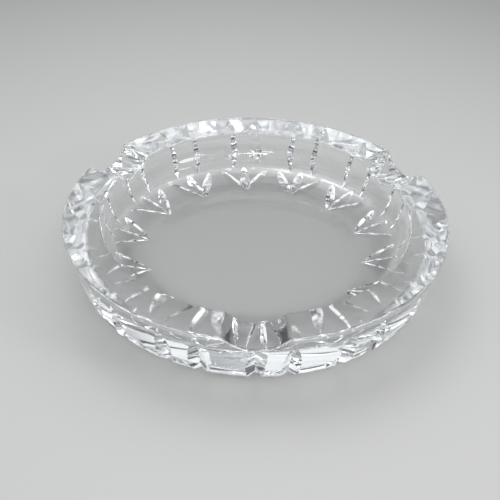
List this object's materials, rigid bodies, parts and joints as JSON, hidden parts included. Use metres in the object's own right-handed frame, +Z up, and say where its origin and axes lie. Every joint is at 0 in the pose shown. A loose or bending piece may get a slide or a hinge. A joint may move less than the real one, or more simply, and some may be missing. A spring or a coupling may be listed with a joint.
{
  "type": "crystal ashtray dish",
  "caption": "Round heavy clear crystal dish with a broad flat rim, rounded rests across the rim, and leaf-shaped and fan-shaped V cuts round the outside.",
  "frame": {"origin": "middle of the flat base, on the surface the dish stands on", "axes": "+Z up out of the bowl, the front rest points to -Y, +X to the right seen from that rest"},
  "size_m": [0.1596, 0.1588, 0.0299],
  "materials": {
    "crystal": "polished clear crystal"
  },
  "bodies": {
    "root": {"dish": "crystal"}
  },
  "joints": []
}
